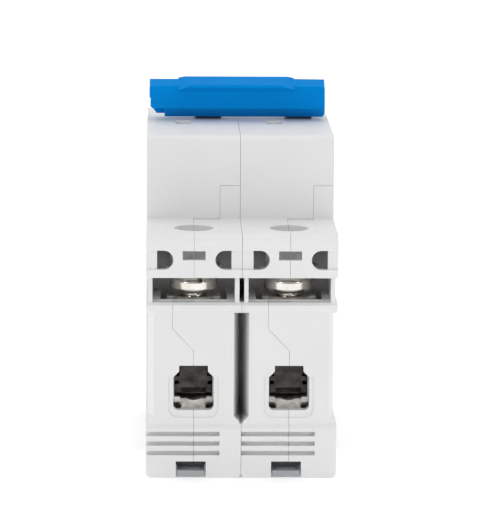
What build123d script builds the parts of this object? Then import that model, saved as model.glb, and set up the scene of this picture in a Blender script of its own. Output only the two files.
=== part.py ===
from build123d import *
import os
from math import cos, radians, sin

os.makedirs("parts", exist_ok=True)

# Two-pole miniature circuit breaker for a 35 mm top-hat rail. Millimetres.
# X runs across the poles, +Z points to the front (the toggle side), and the line
# terminals are at the -Y end. The origin is the centre of the rail side, at its back.

# ---------------------------------------------------------------- driving dimensions
POLE_PITCH = 17.8          # one module
POLE_GAP = 0.06            # air between the two pole housings
POLE_W = POLE_PITCH - POLE_GAP
WALL = 1.3                 # side walls of a pole
SEAM = 0.05                # open line between a pole's base and its cover

END_Y = 42.0               # outermost end wall, beside the screw windows
BLOCK_Y = 40.7             # rail-side block and the ridge above the wire entry
LOWER_Y = 40.1             # wall with the wire entry
BAND_Y = 22.5              # half of the 45 mm front band
BLOCK_Z = 9.3
LOWER_Z = 10.1
RIDGE_Z = (31.1, 33.1)
WINDOW_Z = (33.1, 37.7)
CLIP_Z = (38.0, 44.7)
SHOULDER_Z = 46.0
FRONT_Z = 61.8
FRONT_WALL = 1.4

RAIL_HALF = 17.8           # rail recess: 35 mm rail and a little play
RAIL_SEAT_Z = 5.2
RAIL_LIP = 1.2             # how far the fixed hook reaches under the rail's edge
HOOK_Z = 3.9

TERMINAL_Y = 33.3          # screw axis, from the middle of the breaker
TERMINAL_X = POLE_W / 2    # screw axis, from the pole's left side
ENTRY_Z = (12.6, 21.1)     # wire entry
ENTRY_HALF_W = 3.77
ENTRY_TOP_HALF_W = 2.68
SCREW_HOLE_R = 3.65
HEAD_R = 4.4
THREAD_R = 2.5
THREAD_PLAY = 0.08

TOGGLE_Y = 10.5            # toggle axis
TOGGLE_Z = 53.0
TOGGLE_LEAN = 26.0         # lean from upright, each way
TOGGLE_X = (-17.35, 17.05)
HUB_R = 7.0
HUB_X = (9.5, 14.5)
STEM_HALF = 1.3
AXLE_R = 1.5
AXLE_PLAY = 0.05

ARM_Y = TOGGLE_Y           # axis of the contact arm, straight below the toggle's
ARM_Z = 35.0
ARM_AXLE_R = 1.2
ARM_SWING = 18.0           # opening angle of the contact arm
LINK_HUB_R = 4.2           # throw of the link's pin on the hub
LINK_ARM_R = 6.0           # throw of the link's pin on the contact carrier
LINK_PIN_R = 0.6

TRIP_Y = 18.4              # trip lever axis
TRIP_Z = 44.5
TRIP_AXLE_R = 1.0
TRIP_PIN = (15.8, 42.2)    # pin that trips both poles together
TRIP_PIN_R = 1.0

COIL_Z = 30.0              # magnet axis
CONTACT_X = 7.8            # middle of the contacts, from the pole's left side
CONTACT_Z = 21.5
TONGUE_Z = (15.0, 16.6)
SADDLE_Z = 14.1            # top of the clamp's saddle at rest
CAGE_TOP_Z = 33.3
HEAD_Z = (34.7, 37.3)      # terminal screw's head

RIVET_R = 1.5
RIVET_HEAD_R = 2.4
RIVET_HEAD_T = 0.5
RIVETS = ((-23.2, 41.5), (23.2, 41.5), (-22.5, 9.9), (22.5, 9.9), (-15.5, 55.5))

VENT_X = 13.75             # vents run in from the pole's left side
VENT_DEPTH = 1.2
VENT_T = 0.86
VENT_PITCH = 1.82
VENT_TOP_Z = 8.23

POLES = {"1": -POLE_PITCH + POLE_GAP / 2, "2": POLE_GAP / 2}
ENDS = {"line": -1, "load": 1}


# ---------------------------------------------------------------- helpers
def block(x_span, y_span, z_span, mode=Mode.ADD):
    """Rectangular block between limits, joined to the part being built."""
    spans = (x_span, y_span, z_span)
    sizes = [abs(span[1] - span[0]) for span in spans]
    with Locations(tuple(sum(span) / 2 for span in spans)):
        Box(*sizes, mode=mode)


def rod_x(y, z, radius, x_span, mode=Mode.ADD):
    """Round bar along X."""
    with Locations((sum(x_span) / 2, y, z)):
        Cylinder(radius, x_span[1] - x_span[0], rotation=(0, 90, 0), mode=mode)


def rod_y(x, z, radius, y_span, mode=Mode.ADD):
    """Round bar along Y."""
    with Locations((x, sum(y_span) / 2, z)):
        Cylinder(radius, abs(y_span[1] - y_span[0]), rotation=(90, 0, 0), mode=mode)


def rod_z(x, y, radius, z_span, mode=Mode.ADD):
    """Round bar along Z."""
    with Locations((x, y, sum(z_span) / 2)):
        Cylinder(radius, z_span[1] - z_span[0], mode=mode)


def shifted(x, span):
    """A span measured from a pole's left side, in the breaker's frame."""
    return (x + span[0], x + span[1])


def at_end(end, near, far):
    """A Y span measured outward from the middle, at the line or load end."""
    return tuple(sorted((end * near, end * far)))


def save(piece, name):
    """Label a finished piece and write its STEP file."""
    piece.part.label = name
    export_step(piece.part, f"parts/{name}.step")


def lever_point(u, v):
    """Point on the toggle at rest: u towards the line end, v along the lever."""
    lean = radians(TOGGLE_LEAN)
    y = TOGGLE_Y - v * sin(lean) - u * cos(lean)
    z = TOGGLE_Z + v * cos(lean) - u * sin(lean)
    return (y, z)


# ---------------------------------------------------------------- pole housing
def half_outline(end):
    """Outer profile of one end of a pole, from the rail recess up to the front."""
    profile = [(RAIL_HALF, RAIL_SEAT_Z)]
    if end > 0:
        profile += [
            (RAIL_HALF, HOOK_Z),
            (RAIL_HALF - RAIL_LIP, HOOK_Z),
            (RAIL_HALF - RAIL_LIP, 1.6),
            (RAIL_HALF, 0),
        ]
    else:
        profile += [(RAIL_HALF, 0)]
    profile += [
        (BLOCK_Y, 0),
        (BLOCK_Y, BLOCK_Z),
        (LOWER_Y, LOWER_Z),
        (LOWER_Y, RIDGE_Z[0]),
        (BLOCK_Y, RIDGE_Z[0] + 0.5),
        (BLOCK_Y, RIDGE_Z[1] - 0.5),
        (LOWER_Y, RIDGE_Z[1]),
        (LOWER_Y, WINDOW_Z[1]),
        (END_Y, CLIP_Z[0]),
        (END_Y, CLIP_Z[1]),
        (END_Y - 1.4, SHOULDER_Z),
        (BAND_Y, SHOULDER_Z),
        (BAND_Y, FRONT_Z),
    ]
    return [(end * y, z) for y, z in profile]


def cut_end_details(x, end):
    """Openings and relief of one terminal end, cut from the pole being built."""
    middle = x + TERMINAL_X
    outer = END_Y + 1
    right = x + POLE_W

    # side recesses beside the lower wall, closed by a slope at the bottom and running out inwards
    for side_x, inward in ((x, 1), (right, -1)):
        with BuildSketch(Plane.XZ) as recess:
            with BuildLine():
                Polyline(
                    (side_x - inward, LOWER_Z),
                    (side_x, LOWER_Z),
                    (side_x + inward * 1.4, LOWER_Z + 1.4),
                    (side_x + inward * 1.4, RIDGE_Z[0]),
                    (side_x - inward, RIDGE_Z[0]),
                    close=True,
                )
            make_face()
        upright = extrude(recess.sketch, amount=-end * outer, mode=Mode.PRIVATE)
        with BuildSketch(Plane.XY) as taper:
            with BuildLine():
                Polyline(
                    (side_x - inward, end * outer),
                    (side_x + inward * 1.4, end * outer),
                    (side_x + inward * 1.4, end * LOWER_Y),
                    (side_x + inward * 0.3, end * (LOWER_Y - 8)),
                    (side_x - inward, end * (LOWER_Y - 8)),
                    close=True,
                )
            make_face()
        wedge = extrude(taper.sketch, amount=SHOULDER_Z, mode=Mode.PRIVATE)
        add(upright & wedge, mode=Mode.SUBTRACT)
        for depth, z_span in ((0.3, (LOWER_Z, RIDGE_Z[0])), (0.42, WINDOW_Z)):
            side_span = tuple(sorted((side_x - inward, side_x + inward * depth)))
            block(side_span, at_end(end, BAND_Y + 4, outer), z_span, Mode.SUBTRACT)

    # terminal chamber, its upper hollow, and the window over the screw head
    block(shifted(x, (2.7, POLE_W - 2.7)), at_end(end, 27.3, 37.9), (9.2, 34), Mode.SUBTRACT)
    block(shifted(x, (1.2, POLE_W - 1.25)), at_end(end, 27.3, 38.6), (33.3, 44.8), Mode.SUBTRACT)
    block(shifted(x, (1.2, POLE_W - 1.25)), at_end(end, 38.5, outer), WINDOW_Z, Mode.SUBTRACT)
    block(shifted(x, (1.2, POLE_W - 1.25)), at_end(end, 38.5, 40.4), (37, 44.0), Mode.SUBTRACT)

    # screwdriver guide: a short tube with a collar under the shoulder
    rod_z(middle, end * TERMINAL_Y, SCREW_HOLE_R + 0.8, (38.6, SHOULDER_Z - 0.5))
    rod_z(middle, end * TERMINAL_Y, 5.4, (38.4, 39.1))
    rod_z(middle, end * TERMINAL_Y, SCREW_HOLE_R, (37, SHOULDER_Z + 1), Mode.SUBTRACT)

    # wire entry with a shallow border
    plane = Plane.XZ.offset(-end * outer)
    low, high = ENTRY_Z
    with BuildSketch(plane) as border:
        with Locations((middle, 15.1)):
            Rectangle(9.4, 7.8)
        fillet(border.vertices().group_by(Axis.Y)[0], 1.8)
    border_solid = extrude(border.sketch, amount=end * (outer - LOWER_Y + 0.3), mode=Mode.PRIVATE)
    add(border_solid, mode=Mode.SUBTRACT)
    with BuildSketch(plane) as entry:
        with BuildLine():
            Polyline(
                (middle - ENTRY_HALF_W, low),
                (middle + ENTRY_HALF_W, low),
                (middle + ENTRY_HALF_W, high - 2.2),
                (middle + ENTRY_TOP_HALF_W, high - 1.1),
                (middle + ENTRY_TOP_HALF_W, high),
                (middle - ENTRY_TOP_HALF_W, high),
                (middle - ENTRY_TOP_HALF_W, high - 1.1),
                (middle - ENTRY_HALF_W, high - 2.2),
                close=True,
            )
        make_face()
        fillet(entry.vertices().group_by(Axis.Y)[0], 0.9)
    add(extrude(entry.sketch, amount=end * (outer - 37), mode=Mode.PRIVATE), mode=Mode.SUBTRACT)

    # D-shaped openings, the strips beside them and the small slot between them
    d_low, d_high = 39.5, 43.1
    d_mid = (d_low + d_high) / 2
    d_r = (d_high - d_low) / 2
    for flat_x, inward in ((x + 2.05, 1), (right - 1.95, -1)):
        with BuildSketch(plane) as opening:
            with Locations((flat_x + inward * 0.6, d_mid)):
                Rectangle(1.2, d_high - d_low)
            with Locations((flat_x + inward * 1.2, d_mid)):
                Circle(d_r)
            with Locations((flat_x - inward * 2, d_mid)):
                Rectangle(4, d_high - d_low, mode=Mode.SUBTRACT)
        add(extrude(opening.sketch, amount=end * (outer - 39.5), mode=Mode.PRIVATE), mode=Mode.SUBTRACT)
        block(
            tuple(sorted((flat_x, flat_x - inward * 3))),
            at_end(end, END_Y - 0.5, outer),
            (d_low, d_high),
            Mode.SUBTRACT,
        )
    block(
        shifted(x, (6.75, 11.0)),
        at_end(end, END_Y - 3.6, outer),
        (41.3, 43.0),
        Mode.SUBTRACT,
    )

    # vents, open at the pole's left side
    for index in range(3):
        z = VENT_TOP_Z - index * VENT_PITCH
        block(
            (x - 1, x + VENT_X),
            at_end(end, BLOCK_Y - VENT_DEPTH, outer),
            (z - VENT_T / 2, z + VENT_T / 2),
            Mode.SUBTRACT,
        )

    # way for the terminal's conductor into the switch chamber
    block(
        shifted(x, (5.25, 12.5)),
        at_end(end, 25, 28),
        (TONGUE_Z[0] - 0.2, TONGUE_Z[1] + 0.2),
        Mode.SUBTRACT,
    )


def pole_shell(x):
    """The whole housing of a pole, before it is parted into base and cover."""
    with BuildPart() as shell:
        with BuildSketch(Plane.YZ.offset(x)):
            with BuildLine():
                Polyline(*half_outline(1), *reversed(half_outline(-1)), close=True)
            make_face()
        extrude(amount=POLE_W)
        front_edges = shell.edges().filter_by(Axis.X).group_by(Axis.Z)[-1]
        fillet(front_edges, 1.4)
        back_edges = shell.edges().filter_by(Axis.Y).group_by(Axis.Z)[0]
        fillet(back_edges, 0.8)

        # switch chamber and the room under the front
        inside = shifted(x, (WALL, POLE_W - WALL))
        block(inside, (-25.7, 25.7), (7.0, 44.4), Mode.SUBTRACT)
        block(inside, (-21.1, 21.1), (44.3, FRONT_Z - FRONT_WALL), Mode.SUBTRACT)
        for y, z in RIVETS:
            rod_x(y, z, RIVET_R + 1.2, shifted(x, (0.7, POLE_W - 0.7)))

        for end in ENDS.values():
            cut_end_details(x, end)

        # bearings moulded on the side walls
        rod_x(TOGGLE_Y, TOGGLE_Z, AXLE_R, shifted(x, (0.7, 13.8)))
        rod_x(ARM_Y, ARM_Z, ARM_AXLE_R, shifted(x, (0.7, POLE_W - 0.7)))
        rod_x(TRIP_Y, TRIP_Z, TRIP_AXLE_R, shifted(x, (0.7, 6.0)))
        # shelf that carries the position flag
        block(shifted(x, (WALL - 0.3, 5.6)), (-12, 8.6), (58.4, 59.2))

        # stem slot, flag window and the holes for the tripping pin
        block(shifted(x, (9.2, 14.8)), (TOGGLE_Y - 6.2, TOGGLE_Y + 6.2), (60, 63), Mode.SUBTRACT)
        block(shifted(x, (5.5, 8.5)), (-4.4, 1.0), (60, 63), Mode.SUBTRACT)
        for wall in ((-1, WALL + 0.1), (POLE_W - WALL - 0.1, POLE_W + 1)):
            rod_x(*TRIP_PIN, TRIP_PIN_R + 1.4, shifted(x, wall), Mode.SUBTRACT)

        # rivet holes with countersunk seats for their heads
        for y, z in RIVETS:
            rod_x(y, z, RIVET_R + 0.05, shifted(x, (-1, POLE_W + 1)), Mode.SUBTRACT)
            for seat in ((-1, RIVET_HEAD_T + 0.1), (POLE_W - RIVET_HEAD_T - 0.1, POLE_W + 1)):
                rod_x(y, z, RIVET_HEAD_R + 0.1, shifted(x, seat), Mode.SUBTRACT)

        # channel of the rail clip at the line end
        block(shifted(x, (5.6, 11.2)), (-BLOCK_Y - 1, -RAIL_HALF + 1), (-1, 3.0), Mode.SUBTRACT)
        block(shifted(x, (4.1, 12.7)), (-38.5, -RAIL_HALF + 1), (1.1, 2.5), Mode.SUBTRACT)
        block(shifted(x, (5.6, 11.2)), (-RAIL_HALF - 4.1, -RAIL_HALF + 1), (2.9, 4.1), Mode.SUBTRACT)
    return shell


def cover_region(x, gap):
    """The space of a pole's cover, right of the parting line, shrunk by a gap."""
    middle = x + TERMINAL_X
    with BuildPart() as region:
        with BuildSketch(Plane.XZ.offset(-END_Y - 5)) as face:
            with BuildLine():
                Polyline(
                    (middle, -5),
                    (middle, 23.9),
                    (middle - 4, 28.1),
                    (middle - 4, RIDGE_Z[1]),
                    (middle, RIDGE_Z[1]),
                    (middle, SHOULDER_Z),
                    (x + 13.9, SHOULDER_Z),
                    (x + 13.9, 52.4),
                    (x + POLE_W + 5, 52.4),
                    (x + POLE_W + 5, -5),
                    close=True,
                )
            make_face()
            if gap:
                offset(amount=-gap, kind=Kind.INTERSECTION)
        extrude(amount=2 * END_Y + 10)
    return region


def build_housing(pole, x):
    shell = pole_shell(x)
    with BuildPart() as base:
        add(shell)
        add(cover_region(x, 0), mode=Mode.SUBTRACT)
    with BuildPart() as cover:
        add(shell)
        add(cover_region(x, SEAM), mode=Mode.INTERSECT)
    save(base, f"housing_base_{pole}")
    save(cover, f"housing_cover_{pole}")


# ---------------------------------------------------------------- terminals
def build_terminal_screw(name, x, end):
    """Pan-head screw with a cross recess and a plain tip that bears on the tongue."""
    middle = x + TERMINAL_X
    y = end * TERMINAL_Y
    with BuildPart() as screw:
        rod_z(middle, y, HEAD_R, HEAD_Z)
        fillet(screw.edges().group_by(Axis.Z)[-1], 1.2)
        fillet(screw.edges().group_by(Axis.Z)[0], 0.8)
        rod_z(middle, y, THREAD_R - 0.3, (CAGE_TOP_Z + 0.5, HEAD_Z[0] + 0.1))
        rod_z(middle, y, THREAD_R, (21.0, CAGE_TOP_Z + 0.6))
        rod_z(middle, y, 1.6, (TONGUE_Z[1] + 0.1, 21.1))
        for size in ((5.2, 1.0), (1.0, 5.2)):
            with Locations((middle, y, HEAD_Z[1] - 0.6)):
                Box(size[0], size[1], 2.4, mode=Mode.SUBTRACT)
    save(screw, name)


def build_clamp(name, x, end):
    """Steel cage: threaded top, two straps, and a dished saddle with a flared lip."""
    middle = x + TERMINAL_X
    inner, outer = 3.6, 5.0
    near, far = TERMINAL_Y - 2.9, TERMINAL_Y + 2.9
    with BuildPart() as clamp:
        cage_x = (middle - outer, middle + outer)
        block(cage_x, at_end(end, near, far), (SADDLE_Z - 1.4, CAGE_TOP_Z))
        block(
            (middle - inner, middle + inner),
            at_end(end, near - 1, far + 1),
            (SADDLE_Z, CAGE_TOP_Z - 1.6),
            Mode.SUBTRACT,
        )
        for side in (-1, 1):
            # raised edge of the saddle, and a corner of the top plate cut free and bent up
            edge_x = tuple(sorted((middle + side * 2.5, middle + side * inner)))
            block(edge_x, at_end(end, far - 1.2, far), (SADDLE_Z - 0.1, SADDLE_Z + 0.3))
            under_x = tuple(sorted((middle + side * 2.5, middle + side * (outer + 1))))
            block(under_x, at_end(end, far - 1.2, far + 1), (SADDLE_Z - 2, SADDLE_Z - 0.7), Mode.SUBTRACT)
            corner_x = tuple(sorted((middle + side * 3.9, middle + side * outer)))
            block(corner_x, at_end(end, far - 1.2, far), (CAGE_TOP_Z - 0.1, CAGE_TOP_Z + 0.25))
            notch_x = tuple(sorted((middle + side * 3.0, middle + side * 3.9)))
            block(notch_x, at_end(end, far - 1.2, far + 1), (CAGE_TOP_Z - 2, CAGE_TOP_Z + 1), Mode.SUBTRACT)
        with BuildSketch(Plane.YZ.offset(middle - 2.3)):
            with BuildLine():
                Polyline(
                    (end * far, SADDLE_Z),
                    (end * (far + 1.1), SADDLE_Z - 1.6),
                    (end * (far + 1.1), SADDLE_Z - 2.2),
                    (end * far, SADDLE_Z - 1.4),
                    close=True,
                )
            make_face()
        extrude(amount=4.6)
        for side in (-1, 1):
            # waist of the lip between its flared corners
            rod_y(middle + side * 2.9, SADDLE_Z - 0.9, 0.8, at_end(end, far, far + 2), Mode.SUBTRACT)
        hole_z = (CAGE_TOP_Z - 2, CAGE_TOP_Z + 1)
        rod_z(middle, end * TERMINAL_Y, THREAD_R + THREAD_PLAY, hole_z, Mode.SUBTRACT)
        # shallow trough that centres the wire
        rod_y(middle, SADDLE_Z + 3.1, 3.4, at_end(end, near - 1, far + 3), Mode.SUBTRACT)
    save(clamp, name)


def add_tongue(middle, end):
    """Terminal tongue with a bevelled nose and an upturned tab on a narrow neck."""
    nose_y = 35.9
    tab_z = TONGUE_Z[1] + 0.8
    half_w = 3.5
    block((middle - half_w, middle + half_w), at_end(end, 24.2, nose_y - 0.6), TONGUE_Z)
    block((middle - 2.7, middle + 2.7), at_end(end, nose_y - 0.8, nose_y - 0.6), (TONGUE_Z[0], tab_z + 1))
    block((middle - half_w, middle + half_w), at_end(end, nose_y - 0.8, nose_y), (tab_z, tab_z + 0.9))
    block((middle - 2.6, middle + 2.6), at_end(end, nose_y - 0.8, nose_y), (tab_z, 20.9))
    with BuildSketch(Plane.YZ.offset(middle - 2.3)) as nose:
        with BuildLine():
            Polyline(
                (end * (nose_y - 0.7), TONGUE_Z[0]),
                (end * nose_y, TONGUE_Z[0]),
                (end * nose_y, TONGUE_Z[0] + 0.2),
                (end * (nose_y - 0.7), TONGUE_Z[0] + 1.1),
                close=True,
            )
        make_face()
    add(extrude(nose.sketch, amount=4.6, mode=Mode.PRIVATE))


def build_line_conductor(pole, x):
    """Terminal tongue with its upturned tab, and the riser to the magnet coil."""
    middle = x + TERMINAL_X
    with BuildPart() as conductor:
        add_tongue(middle, -1)
        block((middle - 3.2, middle + 3.2), (-25.4, -24.2), (TONGUE_Z[0], 37.0))
    save(conductor, f"line_conductor_{pole}")


def build_load_conductor(pole, x):
    """Terminal tongue with its upturned tab, and the stand of the bimetal."""
    middle = x + TERMINAL_X
    with BuildPart() as conductor:
        add_tongue(middle, 1)
        block((middle - 3.2, middle + 3.2), (24.2, 25.4), (TONGUE_Z[0], 23.0))
    save(conductor, f"load_conductor_{pole}")


# ---------------------------------------------------------------- magnetic trip
def build_coil(pole, x):
    """Six turns of thick copper wire."""
    wire_r = 0.85
    coil_r = 4.9
    start_y = -19.4
    turns = 5.5
    pitch = 1.95
    middle = x + TERMINAL_X
    with BuildPart() as coil:
        with BuildLine() as path:
            Helix(pitch, pitch * turns, coil_r, center=(middle, start_y, COIL_Z), direction=(0, 1, 0))
        with BuildSketch(Plane(origin=path.line @ 0, z_dir=path.line % 0)):
            Circle(wire_r)
        sweep(is_frenet=True)
    save(coil, f"magnet_coil_{pole}")


def build_bobbin(pole, x):
    """Tube that guides the plunger, with a flange at each end."""
    middle = x + TERMINAL_X
    with BuildPart() as bobbin:
        rod_y(middle, COIL_Z, 3.9, (-21.2, -6.8))
        rod_y(middle, COIL_Z, 5.9, (-21.2, -20.5))
        rod_y(middle, COIL_Z, 5.9, (-7.5, -6.8))
        rod_y(middle, COIL_Z, 2.7, (-22, -6), Mode.SUBTRACT)
    save(bobbin, f"coil_bobbin_{pole}")


def build_yoke(pole, x):
    """Bent steel frame around the coil, with a hole for the striker."""
    middle = x + TERMINAL_X
    with BuildPart() as yoke:
        block((middle - 4.3, middle + 4.3), (-22.6, -5.4), (23.0, 38.0))
        block((middle - 5, middle + 5), (-21.3, -6.7), (22, 36.8), Mode.SUBTRACT)
        rod_y(middle, COIL_Z, 1.2, (-7, -5), Mode.SUBTRACT)
    save(yoke, f"magnet_yoke_{pole}")


def build_plunger(pole, x):
    """Steel plunger with its slim striker, and the spring that returns it."""
    middle = x + TERMINAL_X
    with BuildPart() as plunger:
        rod_y(middle, COIL_Z, 2.6, (-19.5, -11.5))
        rod_y(middle, COIL_Z, 0.9, (-12, 1.5))
    save(plunger, f"plunger_{pole}")

    with BuildPart() as spring:
        with BuildLine() as path:
            Helix(0.84, 4.2, 1.8, center=(middle, -11.2, COIL_Z), direction=(0, 1, 0))
        with BuildSketch(Plane(origin=path.line @ 0, z_dir=path.line % 0)):
            Circle(0.2)
        sweep(is_frenet=True)
    save(spring, f"plunger_spring_{pole}")


# ---------------------------------------------------------------- contacts and arc chamber
def build_fixed_contact(pole, x):
    """Copper bracket under the magnet with a silver-faced button and an arc horn."""
    width = shifted(x, (CONTACT_X - 2.2, CONTACT_X + 2.2))
    with BuildPart() as contact:
        block(width, (-5.2, -3.4), (19.0, 28.4))
        block(width, (-19.0, -5.0), (19.0, 20.0))
        rod_y(x + CONTACT_X, CONTACT_Z, 1.8, (-3.5, -2.6))
    save(contact, f"fixed_contact_{pole}")


def build_moving_contact(pole, x):
    """Contact arm that hangs from its axle, closed on the fixed contact at rest."""
    with BuildPart() as arm:
        with BuildSketch(Plane.YZ.offset(x + 6.0)):
            with BuildLine():
                Polyline(
                    (-1.75, 19.0),
                    (-0.15, 19.0),
                    (-0.15, 23.0),
                    (ARM_Y + 1.2, ARM_Z - 1.6),
                    (ARM_Y - 1.2, ARM_Z + 1.6),
                    (-1.75, 24.0),
                    close=True,
                )
            make_face()
            with Locations((ARM_Y, ARM_Z)):
                Circle(2.4)
                Circle(ARM_AXLE_R + AXLE_PLAY, mode=Mode.SUBTRACT)
        extrude(amount=3.6)
        rod_y(x + CONTACT_X, CONTACT_Z, 1.8, (-2.55, -1.7))
    save(arm, f"moving_contact_{pole}")


def link_ends():
    """Pins of the toggle link at rest: on the hub, and on the contact carrier."""
    hub_turn = radians(TOGGLE_LEAN)
    arm_turn = radians(ARM_SWING / 2)
    hub_pin = (TOGGLE_Y + LINK_HUB_R * sin(hub_turn), TOGGLE_Z - LINK_HUB_R * cos(hub_turn))
    arm_pin = (ARM_Y + LINK_ARM_R * sin(arm_turn), ARM_Z + LINK_ARM_R * cos(arm_turn))
    return hub_pin, arm_pin


def build_contact_carrier(pole, x):
    """Plastic lever that turns with the contact arm, with a latch nose."""
    arm_pin = link_ends()[1]
    with BuildPart() as carrier:
        with BuildSketch(Plane.YZ.offset(x + 9.9)):
            with Locations((ARM_Y, ARM_Z)):
                Circle(2.8)
            with Locations(arm_pin):
                Circle(2.7)
            with BuildLine():
                Polyline(
                    (ARM_Y - 2.6, ARM_Z),
                    (ARM_Y + 0.5, ARM_Z - 2.6),
                    (ARM_Y + 5.0, ARM_Z + 0.8),
                    (ARM_Y + 5.0, ARM_Z + 3.0),
                    (ARM_Y + 3.3, ARM_Z + 3.4),
                    (ARM_Y + 3.2, ARM_Z + 6.0),
                    (ARM_Y - 1.6, ARM_Z + 6.0),
                    close=True,
                )
            make_face()
            with Locations((ARM_Y, ARM_Z)):
                Circle(ARM_AXLE_R + AXLE_PLAY, mode=Mode.SUBTRACT)
            with Locations(arm_pin):
                Circle(LINK_PIN_R + 0.9, mode=Mode.SUBTRACT)
        extrude(amount=4.1)
    save(carrier, f"contact_carrier_{pole}")


def build_arc_chamber(pole, x):
    """Stack of notched steel plates, the fibre card that holds them, and the lower horn."""
    plate_t = 1.0
    first_y = -18.1
    pitch = 2.3
    middle = x + TERMINAL_X
    with BuildPart() as plates:
        for index in range(7):
            y = first_y + index * pitch
            with BuildSketch(Plane.XZ.offset(-y)):
                with Locations((middle, 12.7)):
                    Rectangle(11.2, 8.6)
                with BuildLine():
                    Polyline(
                        (x + CONTACT_X - 2, 17.2),
                        (x + CONTACT_X, 12.5),
                        (x + CONTACT_X + 2, 17.2),
                        close=True,
                    )
                make_face(mode=Mode.SUBTRACT)
            extrude(amount=-plate_t)
    save(plates, f"arc_plates_{pole}")

    with BuildPart() as card:
        block((middle - 6.6, middle + 6.6), (-19.5, -2.4), (8.3, 17.2))
        block((middle - 5.7, middle + 5.7), (-18.7, -2), (8, 18), Mode.SUBTRACT)
    save(card, f"arc_chute_card_{pole}")

    with BuildPart() as horn:
        block(shifted(x, (5.6, 10.0)), (-19.4, 7.0), (7.1, 7.8))
        block(shifted(x, (5.6, 10.0)), (6.3, 7.0), (7.1, 13.5))
    save(horn, f"arc_horn_{pole}")


# ---------------------------------------------------------------- thermal trip
def build_bimetal(pole, x):
    with BuildPart() as bimetal:
        block(shifted(x, (6.3, 11.3)), (23.3, 24.2), (16.0, 37.5))
    save(bimetal, f"bimetal_{pole}")


def build_braid(pole, x):
    """Flexible copper braid from the bimetal to the root of the contact arm."""
    route = [
        (x + 7.4, 23.2, 28.0),
        (x + 7.4, 19.6, 27.2),
        (x + 7.4, 16.6, 30.2),
        (x + 7.4, 13.2, 30.6),
    ]
    with BuildPart() as braid:
        with BuildLine() as path:
            FilletPolyline(*route, radius=1.4)
        with BuildSketch(Plane(origin=path.line @ 0, z_dir=path.line % 0)):
            Circle(0.75)
        sweep()
    save(braid, f"flexible_braid_{pole}")


def build_trip_lever(pole, x):
    """Lever that frees the latch when the bimetal or the neighbour pole pushes it."""
    with BuildPart() as lever:
        with BuildSketch(Plane.YZ.offset(x + 2.2)):
            with BuildLine():
                Polyline(
                    (TRIP_Y - 1.4, TRIP_Z),
                    (TRIP_Y + 0.4, 32.4),
                    (TRIP_Y + 2.2, 32.4),
                    (TRIP_Y + 1.5, TRIP_Z),
                    close=True,
                )
            make_face()
            with BuildLine():
                Polyline(
                    (TRIP_Y, TRIP_Z + 1.2),
                    (TRIP_PIN[0] - 1.2, TRIP_PIN[1] + 1.6),
                    (TRIP_PIN[0] + 0.8, TRIP_PIN[1] - 1.9),
                    (TRIP_Y + 1, TRIP_Z - 2),
                    close=True,
                )
            make_face()
            with Locations((TRIP_Y, TRIP_Z)):
                Circle(2.0)
            with Locations(TRIP_PIN):
                Circle(TRIP_PIN_R + 1.1)
                Circle(TRIP_PIN_R, mode=Mode.SUBTRACT)
            with Locations((TRIP_Y, TRIP_Z)):
                Circle(TRIP_AXLE_R + AXLE_PLAY, mode=Mode.SUBTRACT)
        extrude(amount=2.8)
        # foot in front of the bimetal's free end
        block(shifted(x, (2.2, 8.4)), (TRIP_Y + 1.0, TRIP_Y + 3.9), (32.4, 35.4))
    save(lever, f"trip_lever_{pole}")


# ---------------------------------------------------------------- toggle mechanism
def build_hub(pole, x):
    """Drum that turns on the moulded axle, with the stem that carries the toggle."""
    hub_pin = link_ends()[0]
    with BuildPart() as hub:
        with BuildSketch(Plane.YZ.offset(x + HUB_X[0])):
            with Locations((TOGGLE_Y, TOGGLE_Z)):
                Circle(HUB_R)
            with BuildLine():
                Polyline(
                    lever_point(STEM_HALF, 4),
                    lever_point(STEM_HALF, 15.4),
                    lever_point(-STEM_HALF, 15.4),
                    lever_point(-STEM_HALF, 4),
                    close=True,
                )
            make_face()
            with Locations((TOGGLE_Y, TOGGLE_Z)):
                Circle(AXLE_R + AXLE_PLAY, mode=Mode.SUBTRACT)
            with Locations(hub_pin):
                Circle(LINK_PIN_R + AXLE_PLAY, mode=Mode.SUBTRACT)
        extrude(amount=HUB_X[1] - HUB_X[0])
    save(hub, f"handle_hub_{pole}")


def build_link(pole, x):
    """Bent wire link: one end turns in the hub, the other pushes the carrier."""
    hub_pin, arm_pin = link_ends()
    bar_x = shifted(x, (14.8, 15.6))
    with BuildPart() as link:
        rod_x(*hub_pin, LINK_PIN_R, (x + 10.2, bar_x[1]))
        rod_x(*arm_pin, LINK_PIN_R, (x + 10.2, bar_x[1]))
        with BuildSketch(Plane.YZ.offset(bar_x[0])):
            with BuildLine():
                Line(hub_pin, arm_pin)
            trace(line_width=2 * LINK_PIN_R)
            with Locations(hub_pin, arm_pin):
                Circle(LINK_PIN_R)
        extrude(amount=bar_x[1] - bar_x[0])
    save(link, f"handle_link_{pole}")


def build_toggle_spring(pole, x):
    """Torsion spring around the hub's axle."""
    with BuildPart() as spring:
        with BuildLine() as path:
            Helix(1.2, 6.0, 2.4, center=(x + 2.6, TOGGLE_Y, TOGGLE_Z), direction=(1, 0, 0))
        with BuildSketch(Plane(origin=path.line @ 0, z_dir=path.line % 0)):
            Circle(0.35)
        sweep(is_frenet=True)
    save(spring, f"toggle_spring_{pole}")


def build_flag(pole, x):
    """Contact position flag that slides under its window."""
    with BuildPart() as flag:
        block(shifted(x, (5.2, 8.8)), (-10.8, 1.8), (59.3, 60.1))
        block(shifted(x, (6.0, 8.0)), (-10.8, -9.6), (55.5, 59.4))
    save(flag, f"position_flag_{pole}")


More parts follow.
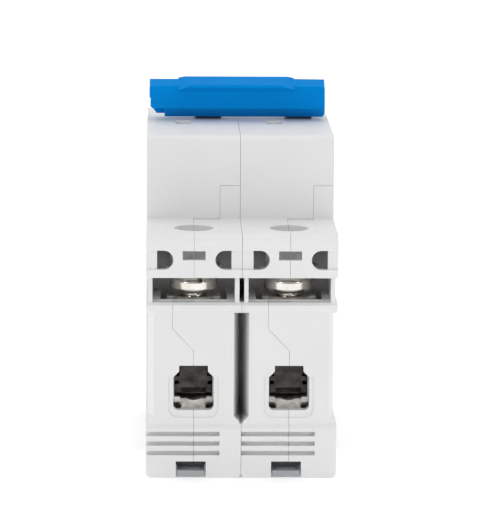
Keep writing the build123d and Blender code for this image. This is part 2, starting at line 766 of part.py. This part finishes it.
def lever_prism(profile, x_span):
    """Prism along X from points given across and along the lever."""
    with BuildPart(mode=Mode.PRIVATE) as prism:
        with BuildSketch(Plane.YZ.offset(x_span[0])):
            with BuildLine():
                Polyline(*[lever_point(u, v) for u, v in profile], close=True)
            make_face()
        extrude(amount=x_span[1] - x_span[0])
    return prism.part


def lever_plate(outline):
    """Slab through the lever from points given by X and the distance along the lever."""
    lean = radians(TOGGLE_LEAN)
    across = Plane(origin=(0, TOGGLE_Y, TOGGLE_Z), x_dir=(1, 0, 0), z_dir=(0, -cos(lean), -sin(lean)))
    with BuildPart(mode=Mode.PRIVATE) as plate:
        with BuildSketch(across):
            with BuildLine():
                Polyline(*outline, close=True)
            make_face()
        extrude(amount=10, both=True)
    return plate.part


def build_toggle():
    """Blue bar across both poles: a wedge with undercut sides and a finger lip."""
    left, right = TOGGLE_X
    waist = [(2.3, 11.4), (4.1, 14.5), (3.1, 17.7)]
    back = [(-2.3, 17.0), (-3.6, 14.5), (-2.3, 11.4)]
    bar_profile = waist + [(2.3, 18.5), (-0.5, 18.4)] + back
    lip_profile = [(1.0, 17.0), (3.1, 17.7), (3.55, 19.0), (3.2, 19.35), (-0.6, 18.95), (-2.3, 17.0)]
    bar_outline = [
        (left + 0.4, 19.6),
        (left, 17.9),
        (left, 16.5),
        (left + 0.2, 16.5),
        (left + 0.2, 14.7),
        (left + 0.45, 14.7),
        (left + 0.45, 12.9),
        (left + 1.2, 11.7),
        (left + 1.6, 11.0),
        (right - 0.4, 11.0),
        (right, 12.6),
        (right - 0.1, 18.1),
        (right - 0.6, 19.6),
    ]
    lip_outline = [
        (-11.7, 18.3),
        (-10.9, 18.75),
        (-9.4, 19.35),
        (-8.8, 19.5),
        (7.8, 19.5),
        (8.5, 19.35),
        (10.2, 18.75),
        (11.0, 18.3),
        (11.0, 16),
        (-11.7, 16),
    ]
    with BuildPart() as toggle:
        add(lever_prism(bar_profile, TOGGLE_X) & lever_plate(bar_outline))
        add(lever_prism(lip_profile, (-12, 12)) & lever_plate(lip_outline))
        # recess in the undercut at the left end
        notch = [(1.1, 10), (1.1, 14.5), (5, 14.5), (5, 10)]
        add(lever_prism(notch, (left - 1, left + 2.95)), mode=Mode.SUBTRACT)

        # pockets that fit over the stems
        for x in POLES.values():
            with BuildSketch(Plane.YZ.offset(x + HUB_X[0] - 0.05)):
                with BuildLine():
                    Polyline(
                        lever_point(STEM_HALF + 0.05, 9),
                        lever_point(STEM_HALF + 0.05, 15.45),
                        lever_point(-STEM_HALF - 0.05, 15.45),
                        lever_point(-STEM_HALF - 0.05, 9),
                        close=True,
                    )
                make_face()
            extrude(amount=HUB_X[1] - HUB_X[0] + 0.1, mode=Mode.SUBTRACT)
    save(toggle, "toggle_bar")


# ---------------------------------------------------------------- fixings
def build_rail_clip(pole, x):
    """Sliding clip: tail with a screwdriver slot, guide flanges, and a nose for the rail."""
    middle = x + 8.4
    nose_y = -RAIL_HALF + 1.4
    with BuildPart() as clip:
        block((middle - 2.6, middle + 2.6), (-40.4, nose_y), (0.1, 1.2))
        block((middle - 4.1, middle + 4.1), (-35.5, -RAIL_HALF - 0.4), (1.2, 2.3))
        with BuildSketch(Plane.YZ.offset(middle - 2.6)):
            with BuildLine():
                Polyline(
                    (-RAIL_HALF - 1.4, 1.0),
                    (-RAIL_HALF - 1.4, 2.9),
                    (-RAIL_HALF + 0.2, 2.9),
                    (-RAIL_HALF + 0.4, 3.9),
                    (nose_y, 3.9),
                    (nose_y, 0.1),
                    close=True,
                )
            make_face()
        extrude(amount=5.2)
        block((middle - 1.6, middle + 1.6), (-39.4, -37.9), (-1, 3), Mode.SUBTRACT)
    save(clip, f"rail_clip_{pole}")


def build_rivets():
    """Long tubular rivets through both poles, with flat heads on the outer sides."""
    left = POLES["1"] + 0.1
    right = POLES["2"] + POLE_W - 0.1
    with BuildPart() as rivets:
        for y, z in RIVETS:
            rod_x(y, z, RIVET_R, (left, right))
            rod_x(y, z, RIVET_HEAD_R, (left, left + RIVET_HEAD_T))
            rod_x(y, z, RIVET_HEAD_R, (right - RIVET_HEAD_T, right))
            rod_x(y, z, 0.8, (left - 1, left + 2), Mode.SUBTRACT)
            rod_x(y, z, 0.8, (right - 2, right + 1), Mode.SUBTRACT)
    save(rivets, "case_rivets")


def build_trip_pin():
    """Pin that joins the trip levers of the two poles."""
    with BuildPart() as pin:
        rod_x(*TRIP_PIN, TRIP_PIN_R, (POLES["1"] + 2.2, POLES["2"] + 5.0))
    save(pin, "trip_coupling_pin")


# ---------------------------------------------------------------- assembly
for pole, x in POLES.items():
    build_housing(pole, x)
    for end_name, end in ENDS.items():
        build_terminal_screw(f"{end_name}_screw_{pole}", x, end)
        build_clamp(f"{end_name}_clamp_{pole}", x, end)
    build_line_conductor(pole, x)
    build_load_conductor(pole, x)
    build_coil(pole, x)
    build_bobbin(pole, x)
    build_yoke(pole, x)
    build_plunger(pole, x)
    build_fixed_contact(pole, x)
    build_moving_contact(pole, x)
    build_contact_carrier(pole, x)
    build_arc_chamber(pole, x)
    build_bimetal(pole, x)
    build_braid(pole, x)
    build_trip_lever(pole, x)
    build_hub(pole, x)
    build_link(pole, x)
    build_toggle_spring(pole, x)
    build_flag(pole, x)
    build_rail_clip(pole, x)
build_toggle()
build_rivets()
build_trip_pin()
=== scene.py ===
import math

import bmesh
import bpy
from mathutils import Matrix, Vector


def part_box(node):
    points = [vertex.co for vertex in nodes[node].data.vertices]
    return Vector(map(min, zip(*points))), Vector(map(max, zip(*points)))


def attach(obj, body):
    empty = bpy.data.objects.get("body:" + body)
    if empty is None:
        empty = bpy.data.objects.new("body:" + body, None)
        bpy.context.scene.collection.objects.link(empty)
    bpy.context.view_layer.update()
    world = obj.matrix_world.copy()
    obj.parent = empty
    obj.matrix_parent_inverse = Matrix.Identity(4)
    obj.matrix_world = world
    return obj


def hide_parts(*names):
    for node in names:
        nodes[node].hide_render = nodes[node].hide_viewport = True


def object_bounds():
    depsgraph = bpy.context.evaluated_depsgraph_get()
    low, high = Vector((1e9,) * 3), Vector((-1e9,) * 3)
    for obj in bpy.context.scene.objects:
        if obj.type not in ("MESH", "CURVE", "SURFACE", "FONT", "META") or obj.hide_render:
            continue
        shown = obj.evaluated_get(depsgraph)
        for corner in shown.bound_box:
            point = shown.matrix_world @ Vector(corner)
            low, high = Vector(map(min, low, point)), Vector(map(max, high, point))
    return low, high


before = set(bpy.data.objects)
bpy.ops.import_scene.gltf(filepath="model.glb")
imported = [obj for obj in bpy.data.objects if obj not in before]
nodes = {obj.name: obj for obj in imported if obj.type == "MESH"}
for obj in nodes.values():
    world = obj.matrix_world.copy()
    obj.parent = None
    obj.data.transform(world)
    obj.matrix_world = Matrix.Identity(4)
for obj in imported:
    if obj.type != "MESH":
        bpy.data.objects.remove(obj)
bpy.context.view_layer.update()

# Looks of a two-pole miniature circuit breaker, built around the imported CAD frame.
# Lengths are in metres; MM turns millimetres into metres.

MM = 0.001

# What each CAD node is made of, without its pole number.
MADE_OF = {
    "housing_base": "housing_white",
    "housing_cover": "housing_white",
    "line_screw": "nickel_plate",
    "load_screw": "nickel_plate",
    "line_clamp": "zinc_steel",
    "load_clamp": "zinc_steel",
    "line_conductor": "dark_steel",
    "load_conductor": "dark_steel",
    "magnet_coil": "copper",
    "coil_bobbin": "mechanism_black",
    "magnet_yoke": "dark_steel",
    "plunger": "zinc_steel",
    "plunger_spring": "spring_steel",
    "fixed_contact": "contact_copper",
    "moving_contact": "contact_copper",
    "contact_carrier": "mechanism_black",
    "arc_plates": "zinc_steel",
    "arc_chute_card": "fibre_card",
    "arc_horn": "dark_steel",
    "bimetal": "bimetal",
    "flexible_braid": "copper",
    "trip_lever": "mechanism_black",
    "handle_hub": "hub_grey",
    "handle_link": "spring_steel",
    "toggle_spring": "spring_steel",
    "position_flag": "flag",
    "rail_clip": "clip_grey_blue",
    "toggle_bar": "toggle_blue",
    "case_rivets": "nickel_plate",
    "trip_coupling_pin": "zinc_steel",
}


# ---------------------------------------------------------------- material helpers
class Shader:
    """A node material under construction, with short calls for the usual nodes."""

    def __init__(self, name):
        self.material = bpy.data.materials.new("breaker_" + name)
        self.material.use_nodes = True
        self.tree = self.material.node_tree
        self.shader = self.tree.nodes["Principled BSDF"]
        self.place = self.add("ShaderNodeTexCoord").outputs["Object"]

    def add(self, kind, **settings):
        node = self.tree.nodes.new(kind)
        for key, value in settings.items():
            setattr(node, key, value)
        return node

    def link(self, source, target):
        self.tree.links.new(source, target)

    def stretched(self, scale):
        """The object's coordinates, stretched so that a texture runs along an axis."""
        mapping = self.add("ShaderNodeMapping")
        mapping.inputs["Scale"].default_value = scale
        self.link(self.place, mapping.inputs["Vector"])
        return mapping.outputs["Vector"]

    def noise(self, scale, detail=3.0, roughness=0.55, vector=None):
        node = self.add("ShaderNodeTexNoise")
        node.inputs["Scale"].default_value = scale
        node.inputs["Detail"].default_value = detail
        node.inputs["Roughness"].default_value = roughness
        self.link(vector or self.place, node.inputs["Vector"])
        return node.outputs["Fac"]

    def spread(self, value, low, high, start=0.0, stop=1.0):
        """Maps a value from start..stop to low..high."""
        node = self.add("ShaderNodeMapRange")
        self.link(value, node.inputs["Value"])
        for key, number in (("From Min", start), ("From Max", stop), ("To Min", low), ("To Max", high)):
            node.inputs[key].default_value = number
        return node.outputs["Result"]

    def mix(self, factor, first, second):
        """Mixes two colours, each a link or an (r, g, b)."""
        node = self.add("ShaderNodeMix", data_type="RGBA")
        self.link(factor, node.inputs["Factor"])
        for value, socket in ((first, node.inputs[6]), (second, node.inputs[7])):
            if isinstance(value, tuple):
                socket.default_value = (*value, 1)
            else:
                self.link(value, socket)
        return node.outputs[2]

    def edges(self, radius, gain=6.0):
        """1 on sharp edges and 0 on flat faces."""
        rounded = self.add("ShaderNodeBevel", samples=4)
        rounded.inputs["Radius"].default_value = radius
        surface = self.add("ShaderNodeNewGeometry")
        dot = self.add("ShaderNodeVectorMath", operation="DOT_PRODUCT")
        self.link(rounded.outputs["Normal"], dot.inputs[0])
        self.link(surface.outputs["Normal"], dot.inputs[1])
        return self.spread(dot.outputs["Value"], 1.0, 0.0, 1 - 1 / gain, 1.0)

    def bump(self, height, strength, distance, previous=None):
        node = self.add("ShaderNodeBump")
        node.inputs["Strength"].default_value = strength
        node.inputs["Distance"].default_value = distance
        self.link(height, node.inputs["Height"])
        if previous is not None:
            self.link(previous, node.inputs["Normal"])
        return node.outputs["Normal"]

    def finish(self, color, roughness, normal, **numbers):
        self.link(color, self.shader.inputs["Base Color"])
        self.link(roughness, self.shader.inputs["Roughness"])
        self.link(normal, self.shader.inputs["Normal"])
        for key, number in numbers.items():
            self.shader.inputs[key.replace("_", " ")].default_value = number
        return self.material


def moulded(name, body, edge_highlight, roughness, grain, gloss=0.5, edge_radius=0.35 * MM):
    """Moulded plastic: spark-eroded texture, faint flow clouds and a painted highlight in a lighter
    colour along sharp edges.
    """
    s = Shader(name)
    clouds = s.noise(60, detail=4)
    dark = tuple(c * 0.965 for c in body)
    color = s.mix(s.spread(clouds, 0, 1, 0.35, 0.65), dark, body)
    # Painted highlight: sharp edges are given the lighter second colour.
    color = s.mix(s.edges(edge_radius), color, edge_highlight)
    patches = s.noise(260, detail=2)
    rough = s.spread(patches, roughness - 0.05, roughness + 0.06, 0.3, 0.7)
    fine = s.bump(s.noise(2600, detail=2), grain, 0.02 * MM)
    ripples = s.bump(s.noise(170, detail=1), 0.12, 0.03 * MM, fine)
    return s.finish(color, rough, ripples, Specular_IOR_Level=gloss)


def plated(name, body, shade, roughness, streak=(40, 40, 900), pits=0.1, metallic=1.0):
    """Plated or bare metal: drawn streaks, cloudy tarnish and pitted grain."""
    s = Shader(name)
    clouds = s.noise(420, detail=4)
    color = s.mix(s.spread(clouds, 0, 1, 0.38, 0.68), body, shade)
    streaks = s.noise(1.0, detail=3, vector=s.stretched(streak))
    rough = s.spread(streaks, roughness * 0.75, roughness * 1.35, 0.3, 0.7)
    grain = s.bump(s.noise(5200, detail=2), pits, 0.01 * MM)
    drawn = s.bump(streaks, 0.25, 0.008 * MM, grain)
    return s.finish(color, rough, drawn, Metallic=metallic)


def fibre_card(name):
    """Vulcanised fibre: mottled tan card with fine fibres."""
    s = Shader(name)
    fibres = s.noise(1.0, detail=4, vector=s.stretched((300, 2200, 700)))
    color = s.mix(s.spread(fibres, 0, 1, 0.3, 0.7), (0.44, 0.33, 0.21), (0.60, 0.49, 0.34))
    rough = s.spread(fibres, 0.62, 0.85)
    return s.finish(color, rough, s.bump(fibres, 0.35, 0.03 * MM))


def braided(name):
    """Copper with the crossed strands of a braid or the turns of a winding."""
    s = Shader(name)
    wave = s.add("ShaderNodeTexWave", bands_direction="DIAGONAL")
    wave.inputs["Scale"].default_value = 900
    wave.inputs["Distortion"].default_value = 0.6
    s.link(s.place, wave.inputs["Vector"])
    clouds = s.noise(500, detail=3)
    color = s.mix(s.spread(clouds, 0, 1, 0.3, 0.7), (0.74, 0.36, 0.19), (0.46, 0.19, 0.10))
    rough = s.spread(clouds, 0.24, 0.42, 0.3, 0.7)
    return s.finish(color, rough, s.bump(wave.outputs["Fac"], 0.15, 0.02 * MM), Metallic=1.0)


def two_colour_flag(name, border_y):
    """Contact position flag: green towards -Y of the border and white past it."""
    s = Shader(name)
    split = s.add("ShaderNodeSeparateXYZ")
    s.link(s.place, split.inputs[0])
    side = s.spread(split.outputs["Y"], 0, 1, border_y - 0.05 * MM, border_y + 0.05 * MM)
    clouds = s.noise(300, detail=3)
    green = s.mix(clouds, (0.02, 0.30, 0.10), (0.03, 0.36, 0.13))
    white = s.mix(clouds, (0.86, 0.86, 0.85), (0.92, 0.92, 0.92))
    rough = s.spread(clouds, 0.34, 0.5, 0.3, 0.7)
    return s.finish(s.mix(side, green, white), rough, s.bump(s.noise(2600), 0.1, 0.02 * MM))


# ---------------------------------------------------------------- materials
flag_low, flag_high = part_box("position_flag_1")
FLAG_BORDER_Y = flag_low.y + 0.485 * (flag_high.y - flag_low.y)

# In each moulded finish the second colour is a painted highlight for the sharp edges.
FINISH = {
    "housing_white": moulded(
        "housing_white", (0.775, 0.775, 0.775), (0.82, 0.82, 0.82), 0.46, 0.22, 0.3
    ),
    "toggle_blue": moulded(
        "toggle_blue", (0.0, 0.235, 0.67), (0.0, 0.29, 0.76), 0.4, 0.12, 0.03
    ),
    "hub_grey": moulded("hub_grey", (0.10, 0.105, 0.11), (0.16, 0.165, 0.17), 0.5, 0.15),
    "clip_grey_blue": moulded("clip_grey_blue", (0.37, 0.385, 0.40), (0.44, 0.46, 0.48), 0.45, 0.2),
    "mechanism_black": moulded(
        "mechanism_black", (0.018, 0.018, 0.02), (0.05, 0.05, 0.05), 0.48, 0.2
    ),
    "nickel_plate": plated("nickel_plate", (0.82, 0.79, 0.74), (0.70, 0.66, 0.60), 0.16),
    "zinc_steel": plated(
        "zinc_steel", (0.88, 0.85, 0.81), (0.50, 0.46, 0.42), 0.3, pits=0.6, metallic=0.6
    ),
    "dark_steel": plated("dark_steel", (0.07, 0.066, 0.062), (0.025, 0.022, 0.02), 0.3, pits=0.5),
    "contact_copper": plated("contact_copper", (0.72, 0.42, 0.26), (0.55, 0.30, 0.18), 0.3),
    "bimetal": plated("bimetal", (0.55, 0.52, 0.47), (0.44, 0.41, 0.36), 0.32, (900, 40, 40)),
    "spring_steel": plated("spring_steel", (0.50, 0.50, 0.52), (0.38, 0.38, 0.40), 0.26),
    "copper": braided("copper"),
    "fibre_card": fibre_card("fibre_card"),
    "flag": two_colour_flag("flag", FLAG_BORDER_Y),
}


# ---------------------------------------------------------------- CAD nodes
def smoothing_group(limit):
    """Geometry nodes that shade faces smooth and keep edges over the limit sharp."""
    tree = bpy.data.node_groups.new("smooth_under_limit", "GeometryNodeTree")
    tree.interface.new_socket("Geometry", in_out="INPUT", socket_type="NodeSocketGeometry")
    tree.interface.new_socket("Geometry", in_out="OUTPUT", socket_type="NodeSocketGeometry")
    start = tree.nodes.new("NodeGroupInput")
    stop = tree.nodes.new("NodeGroupOutput")
    faces = tree.nodes.new("GeometryNodeSetShadeSmooth")
    faces.domain = "FACE"
    edges = tree.nodes.new("GeometryNodeSetShadeSmooth")
    edges.domain = "EDGE"
    angle = tree.nodes.new("GeometryNodeInputMeshEdgeAngle")
    test = tree.nodes.new("FunctionNodeCompare")
    test.data_type = "FLOAT"
    test.operation = "LESS_THAN"
    test.inputs[1].default_value = limit
    tree.links.new(start.outputs[0], faces.inputs[0])
    tree.links.new(faces.outputs[0], edges.inputs[0])
    tree.links.new(angle.outputs["Unsigned Angle"], test.inputs[0])
    tree.links.new(test.outputs[0], edges.inputs["Shade Smooth"])
    tree.links.new(edges.outputs[0], stop.inputs[0])
    return tree


SMOOTHING = smoothing_group(math.radians(50))


def round_edges(piece, width, segments=2):
    """Rounds the sharp edges of a piece with modifiers and shades it cleanly."""
    weld = piece.modifiers.new("weld", "WELD")
    weld.merge_threshold = 0.001 * MM
    flat = piece.modifiers.new("flatten", "DECIMATE")
    flat.decimate_type = "DISSOLVE"
    flat.angle_limit = math.radians(0.5)
    bevel = piece.modifiers.new("round", "BEVEL")
    bevel.width = width
    bevel.segments = segments
    bevel.limit_method = "ANGLE"
    bevel.angle_limit = math.radians(35)
    smooth = piece.modifiers.new("smooth", "NODES")
    smooth.node_group = SMOOTHING
    normals = piece.modifiers.new("normals", "WEIGHTED_NORMAL")
    normals.keep_sharp = True


# Edge rounding in millimetres; nodes left out keep the CAD's own smooth surface.
EDGE_WIDTH = {
    "housing_base": 0.05,
    "housing_cover": 0.05,
    "toggle_bar": 0.55,
    "line_clamp": 0.12,
    "load_clamp": 0.12,
    "line_conductor": 0.1,
    "load_conductor": 0.1,
    "magnet_yoke": 0.15,
    "fixed_contact": 0.12,
    "moving_contact": 0.12,
    "contact_carrier": 0.15,
    "arc_plates": 0.08,
    "arc_chute_card": 0.08,
    "arc_horn": 0.08,
    "bimetal": 0.08,
    "trip_lever": 0.15,
    "handle_hub": 0.2,
    "position_flag": 0.1,
    "rail_clip": 0.15,
    "coil_bobbin": 0.12,
    "plunger": 0.12,
    "case_rivets": 0.1,
}


def base_name(name):
    """A node's name without its pole number."""
    return name[:-2] if name.endswith(("_1", "_2")) else name


for name, node in nodes.items():
    kind = base_name(name)
    node.data.materials.clear()
    node.data.materials.append(FINISH[MADE_OF[kind]])
    if kind in EDGE_WIDTH:
        round_edges(node, EDGE_WIDTH[kind] * MM)


# ---------------------------------------------------------------- terminal screws
THREAD_PITCH = 0.8 * MM
CREST_R = 2.5 * MM
ROOT_R = 2.05 * MM
TIP_R = 1.6 * MM
TIP_LENGTH = 4.3 * MM       # plain tip below the thread
NECK = 0.8 * MM             # plain neck between the thread and the head
HEAD_R = 4.55 * MM
HEAD_HEIGHT = 3.05 * MM
UNDER_R = 0.9 * MM          # rounding under the head
CROWN_R = 1.3 * MM          # rounding of the head's top edge
THREAD_ROWS = 130
AROUND = 64

# Recess of the head: length, width, depth in millimetres, and turn in degrees.
CROSS_ARM = (5.2, 1.15, 1.9)
SLOT_ARM = (10, 1.05, 1.0)
RECESS_ARMS = ((CROSS_ARM, 0), (CROSS_ARM, 90), (SLOT_ARM, 90))


def arc(centre, radius, start, stop, steps):
    """Points of (radius, height) along an arc given in degrees."""
    points = []
    for index in range(steps + 1):
        turn = math.radians(start + (stop - start) * index / steps)
        points.append((centre[0] + radius * math.cos(turn), centre[1] + radius * math.sin(turn)))
    return points


def screw_profile(low, high):
    """(radius, height, threaded) from the plain tip up to the middle of the head."""
    head_low = high - HEAD_HEIGHT
    start, stop = low + TIP_LENGTH, head_low - NECK
    profile = [(0, low, False), (TIP_R - 0.25 * MM, low, False), (TIP_R, low + 0.25 * MM, False)]
    profile += [(TIP_R, start - 0.5 * MM, False), (ROOT_R, start, False)]
    for row in range(THREAD_ROWS + 1):
        profile.append((CREST_R, start + (stop - start) * row / THREAD_ROWS, True))
    profile += [(ROOT_R, stop + 0.1 * MM, False), (ROOT_R, head_low - 0.12 * MM, False)]
    profile += [(ROOT_R + 0.15 * MM, head_low, False)]
    under = arc((HEAD_R - UNDER_R, head_low + UNDER_R), UNDER_R, -90, 0, 8)
    crown = arc((HEAD_R - CROWN_R, high - 1.2 * MM), CROWN_R, 0, 78, 10)
    profile += [(radius, height, False) for radius, height in under + crown]
    profile += [(crown[-1][0] * 0.5, high - 0.01 * MM, False), (0, high, False)]
    return profile


def lathe(centre, profile):
    """Surface of revolution whose threaded rows carry a helical ridge."""
    shape = bmesh.new()
    rings = []
    for radius, height, threaded in profile:
        if radius == 0:
            rings.append([shape.verts.new((centre.x, centre.y, height))])
            continue
        ring = []
        for index in range(AROUND):
            turn = 2 * math.pi * index / AROUND
            reach = radius
            if threaded:
                phase = (height / THREAD_PITCH - index / AROUND) % 1
                reach = ROOT_R + (radius - ROOT_R) * min(1, 1.25 * (1 - abs(2 * phase - 1)))
            ring.append(shape.verts.new((
                centre.x + reach * math.cos(turn),
                centre.y + reach * math.sin(turn),
                height,
            )))
        rings.append(ring)
    for lower, upper in zip(rings, rings[1:]):
        for index in range(AROUND):
            after = (index + 1) % AROUND
            if len(lower) == 1:
                shape.faces.new((lower[0], upper[after], upper[index]))
            elif len(upper) == 1:
                shape.faces.new((lower[index], lower[after], upper[0]))
            else:
                shape.faces.new((lower[index], lower[after], upper[after], upper[index]))
    return shape


def recess_cutter(centre, top, turn):
    """Cross recess with one arm carried on as a slot to the rim."""
    shape = bmesh.new()
    for arm, angle in RECESS_ARMS:
        length, width, depth = arm
        spin = Matrix.Rotation(math.radians(turn + angle), 4, "Z")
        corners = []
        for z, taper in ((-depth, 0.72), (0.6, 1.08)):
            half_l = length / 2 * (1 if arm is SLOT_ARM else taper)
            half_w = width / 2 * taper
            corners += [
                shape.verts.new(centre + spin @ Vector((x * half_l, y * half_w, 0)) * MM
                                + Vector((0, 0, top + z * MM)))
                for x, y in ((-1, -1), (1, -1), (1, 1), (-1, 1))
            ]
        for face in ((3, 2, 1, 0), (4, 5, 6, 7), (0, 1, 5, 4), (1, 2, 6, 5), (2, 3, 7, 6), (3, 0, 4, 7)):
            shape.faces.new([corners[i] for i in face])
    return shape


def new_object(name, shape):
    """Object in the scene from a bmesh, which is freed."""
    mesh = bpy.data.meshes.new(name)
    bmesh.ops.recalc_face_normals(shape, faces=shape.faces)
    shape.to_mesh(mesh)
    shape.free()
    thing = bpy.data.objects.new(name, mesh)
    bpy.context.scene.collection.objects.link(thing)
    return thing


def carved(thing, cutter):
    """Cuts one object out of another for good and removes the cutter."""
    cut = thing.modifiers.new("cut", "BOOLEAN")
    cut.object = cutter
    cut.operation = "DIFFERENCE"
    cut.solver = "EXACT"
    cut.use_self = True
    graph = bpy.context.evaluated_depsgraph_get()
    result = bpy.data.meshes.new_from_object(thing.evaluated_get(graph))
    thing.modifiers.clear()
    thing.data = result
    bpy.data.objects.remove(cutter)


def terminal_screw(end, pole, turn):
    """Pan-head clamping screw with a helical thread and a combined slot and cross."""
    node = f"{end}_screw_{pole}"
    low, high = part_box(node)
    centre = Vector(((low.x + high.x) / 2, (low.y + high.y) / 2, 0))
    profile = screw_profile(low.z, high.z)
    screw = new_object(f"{end}_terminal_screw_{pole}", lathe(centre, profile))
    cutter = new_object("recess_cutter", recess_cutter(centre, high.z, turn))
    carved(screw, cutter)
    round_edges(screw, 0.06 * MM)
    screw.data.materials.clear()
    screw.data.materials.append(FINISH["nickel_plate"])
    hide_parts(node)
    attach(screw, node)


# How far each screw happens to be turned, in degrees.
SCREW_TURNS = {("line", "1"): 15, ("line", "2"): 84, ("load", "1"): 40, ("load", "2"): -22}
for (end, pole), turn in SCREW_TURNS.items():
    terminal_screw(end, pole, turn)


# ---------------------------------------------------------------- stage, light and camera
FLOOR_HALF = 4.0
FLOOR_GLOW = 0.2            # keeps the ground white, as on a light table
CORNERS = ((-1, -1), (1, -1), (1, 1), (-1, 1))


def plain_floor():
    """Wide pale floor just under the breaker."""
    low_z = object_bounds()[0].z - 0.1 * MM
    shape = bmesh.new()
    corners = [shape.verts.new((x * FLOOR_HALF, y * FLOOR_HALF, low_z)) for x, y in CORNERS]
    shape.faces.new(corners)
    mesh = bpy.data.meshes.new("floor")
    shape.to_mesh(mesh)
    shape.free()
    floor = bpy.data.objects.new("floor", mesh)
    bpy.context.scene.collection.objects.link(floor)
    s = Shader("floor")
    clouds = s.noise(3, detail=2)
    color = s.mix(clouds, (0.94, 0.94, 0.94), (0.96, 0.96, 0.96))
    rough = s.spread(clouds, 0.8, 0.95)
    surface = s.bump(s.noise(900), 0.02, 0.02 * MM)
    s.shader.inputs["Emission Color"].default_value = (1, 1, 1, 1)
    mesh.materials.append(s.finish(color, rough, surface, Emission_Strength=FLOOR_GLOW))


def soft_light(name, place, target, size, power):
    """Rectangular area light aimed at a point."""
    light = bpy.data.lights.new(name, "AREA")
    light.shape = "RECTANGLE"
    light.size, light.size_y = size
    light.energy = power
    lamp = bpy.data.objects.new(name, light)
    lamp.location = place
    lamp.rotation_mode = "QUATERNION"
    lamp.rotation_quaternion = (Vector(target) - Vector(place)).to_track_quat("-Z", "Y")
    bpy.context.scene.collection.objects.link(lamp)


def studio():
    """White surroundings, dimmer behind the camera, with a ceiling light and two side lights."""
    world = bpy.data.worlds.new("studio")
    world.use_nodes = True
    tree = world.node_tree
    background = tree.nodes["Background"]
    background.inputs["Color"].default_value = (1, 1, 1, 1)
    direction = tree.nodes.new("ShaderNodeTexCoord")
    split = tree.nodes.new("ShaderNodeSeparateXYZ")
    level = tree.nodes.new("ShaderNodeMapRange")
    for key, number in (("From Min", -0.95), ("From Max", 0.1), ("To Min", 0.30), ("To Max", 0.86)):
        level.inputs[key].default_value = number
    tree.links.new(direction.outputs["Generated"], split.inputs[0])
    tree.links.new(split.outputs["Y"], level.inputs["Value"])
    tree.links.new(level.outputs["Result"], background.inputs["Strength"])
    bpy.context.scene.world = world
    aim = (0, 0, 0.03)
    soft_light("ceiling", (0.0, 0.2, 1.7), (0, 0.2, 0), (2.8, 2.8), 11.5)
    soft_light("left", (-0.62, -0.75, 0.42), aim, (0.3, 0.45), 1.7)
    soft_light("right", (0.66, -0.70, 0.40), aim, (0.3, 0.45), 1.3)
    bpy.context.scene.view_settings.view_transform = "Standard"


def camera():
    """Long lens in front of the line end, looking slightly down."""
    place = Vector((-14.57, -646.07, 144.46)) * MM
    pitch, yaw, roll = (math.radians(angle) for angle in (9.603, 1.34, 0.357))
    forward = Vector((math.sin(yaw) * math.cos(pitch), math.cos(yaw) * math.cos(pitch), -math.sin(pitch)))
    level_right = Vector((math.cos(yaw), -math.sin(yaw), 0))
    level_up = level_right.cross(forward)
    right = level_right * math.cos(roll) + level_up * math.sin(roll)
    up = level_up * math.cos(roll) - level_right * math.sin(roll)
    data = bpy.data.cameras.new("camera")
    data.sensor_width = 36
    data.lens = 234.2
    data.clip_start = 0.05
    data.clip_end = 20
    eye = bpy.data.objects.new("camera", data)
    turn = Matrix((right, up, -forward)).transposed().to_4x4()
    eye.matrix_world = Matrix.Translation(place) @ turn
    bpy.context.scene.collection.objects.link(eye)
    bpy.context.scene.camera = eye


plain_floor()
studio()
camera()
